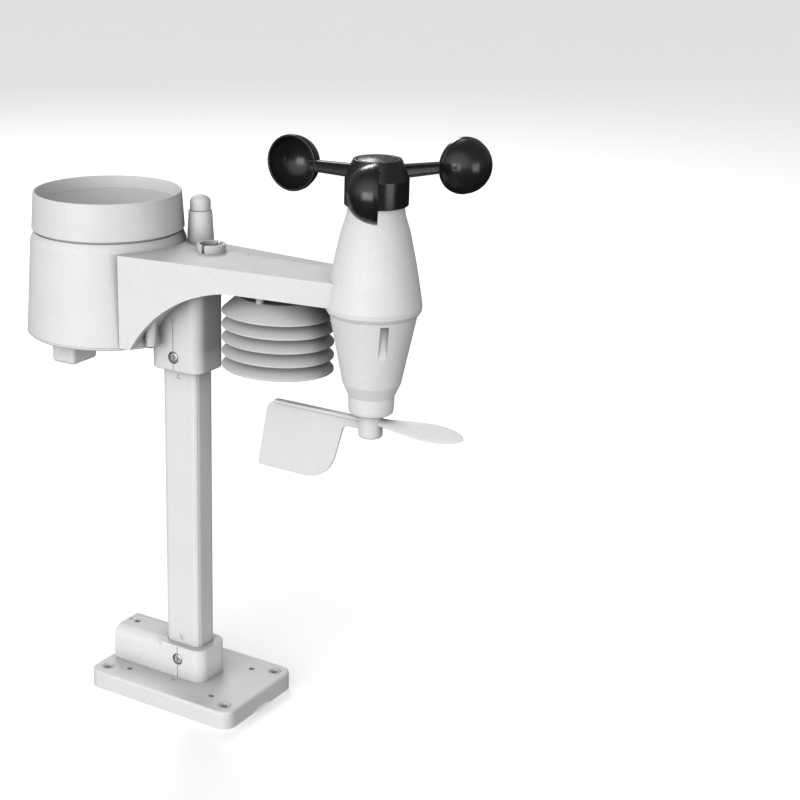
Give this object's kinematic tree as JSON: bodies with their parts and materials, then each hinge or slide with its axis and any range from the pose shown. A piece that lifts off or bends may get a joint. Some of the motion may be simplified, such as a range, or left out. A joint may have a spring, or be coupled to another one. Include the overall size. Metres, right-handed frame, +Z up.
{
  "type": "weather station sensor",
  "caption": "Outdoor weather sensor on a post: rain gauge, cross arm, radiation shield, cup anemometer and wind vane, with a flat screw-down base.",
  "frame": {"origin": "centre of the base plate's underside, on the post's axis", "axes": "+Z up along the post, +X from the rain gauge to the wind sensor, arm's front facing -Y"},
  "size_m": [0.3237, 0.1357, 0.3935],
  "materials": {
    "housing_plastic": "fine textured moulding, light grey-white",
    "collector_plastic": "fine textured moulding, smoother inside the funnel",
    "pole_plastic": "fine textured extrusion",
    "shield_plastic": "fine textured moulding, a shade greyer than the housing",
    "vane_plastic": "smooth matte moulding",
    "door_plastic": "fine textured moulding",
    "rotor_plastic": "glossy black moulding",
    "inner_plastic": "plain inner moulding",
    "bucket_plastic": "smooth water-shedding moulding",
    "rubber": "soft black pads",
    "button_rubber": "grey rubber button",
    "steel": "plain steel fasteners and spindles",
    "bearing_brass": "turned sleeve bearings",
    "contact_metal": "nickel-plated spring steel",
    "circuit_board": "green solder mask",
    "electronics": "moulded component bodies",
    "switch_glass": "glass reed switch tubes",
    "magnet": "plated magnets",
    "led_red": "tinted red lens",
    "antenna_wire": "copper wire",
    "level_lens": "clear level lens",
    "level_fluid": "tinted level fluid",
    "cell_jacket": "plain wrapped cells"
  },
  "bodies": {
    "station": {"antenna_cap": "housing_plastic", "antenna_post": "housing_plastic", "antenna_wire": "antenna_wire", "arm_underside": "housing_plastic", "base_clamp_nut": "steel", "base_clamp_screw": "steel", "base_plate": "housing_plastic", "battery_tray": "inner_plastic", "bottom_cover_screws": "steel", "bucket_bracket": "inner_plastic", "bucket_stops": "rubber", "button_switch": "electronics", "cell_1": "cell_jacket", "cell_2": "cell_jacket", "cell_3": "cell_jacket", "climate_board": "circuit_board", "climate_sensor": "electronics", "contact_plates": "contact_metal", "contact_springs": "contact_metal", "control_board": "circuit_board", "direction_board": "circuit_board", "direction_switches": "switch_glass", "head_clamp_nut": "steel", "head_clamp_screw": "steel", "housing_screws": "steel", "led_indicator": "led_red", "level_fluid": "level_fluid", "level_vial": "level_lens", "louvre_1": "shield_plastic", "louvre_2": "shield_plastic", "louvre_3": "shield_plastic", "louvre_4": "shield_plastic", "lower_cone": "housing_plastic", "main_board": "circuit_board", "mounting_pole": "pole_plastic", "radio_module": "electronics", "rain_bottom_cover": "housing_plastic", "rain_reed_switch": "switch_glass", "rotor_bearings": "bearing_brass", "shield_screws": "steel", "shield_top": "shield_plastic", "speed_board": "circuit_board", "speed_switch": "switch_glass", "switch_holder": "inner_plastic", "upper_housing": "housing_plastic", "vane_bearings": "bearing_brass"},
    "cup_rotor": {"cup_rotor": "rotor_plastic", "rotor_cap": "rotor_plastic", "rotor_shaft": "steel", "rotor_magnet": "magnet"},
    "wind_vane": {"wind_vane": "vane_plastic", "vane_shaft": "steel", "vane_magnet": "magnet"},
    "tipping_bucket": {"tipping_bucket": "bucket_plastic", "bucket_axle": "steel", "bucket_magnet": "magnet"},
    "rain_collector": {"rain_collector": "collector_plastic"},
    "battery_door": {"battery_door": "door_plastic", "battery_door_screw": "steel"},
    "reset_button": {"reset_button": "button_rubber"}
  },
  "joints": [
    {"name": "cup_spin", "type": "hinge", "parent": "station", "child": "cup_rotor", "pos_m": [0.13964, 0, 0.3575], "axis": [0, 0, 1], "continuous": true},
    {"name": "vane_turn", "type": "hinge", "parent": "station", "child": "wind_vane", "pos_m": [0.13964, 0, 0.229], "axis": [0, 0, 1], "continuous": true},
    {"name": "bucket_tip", "type": "hinge", "parent": "station", "child": "tipping_bucket", "pos_m": [-0.064, 0, 0.279], "axis": [1, 0, 0], "range_deg": [0, 30]},
    {"name": "collector_lift", "type": "slide", "parent": "station", "child": "rain_collector", "axis": [0, 0, 1], "range_m": [0, 0.06]},
    {"name": "door_release", "type": "slide", "parent": "station", "child": "battery_door", "axis": [0, 0, -1], "range_m": [0, 0.03]},
    {"name": "reset_press", "type": "slide", "parent": "station", "child": "reset_button", "axis": [0, 0, 1], "range_m": [0, 0.0008], "stiffness_N_per_m": 1500, "springref_m": -0.0005}
  ]
}
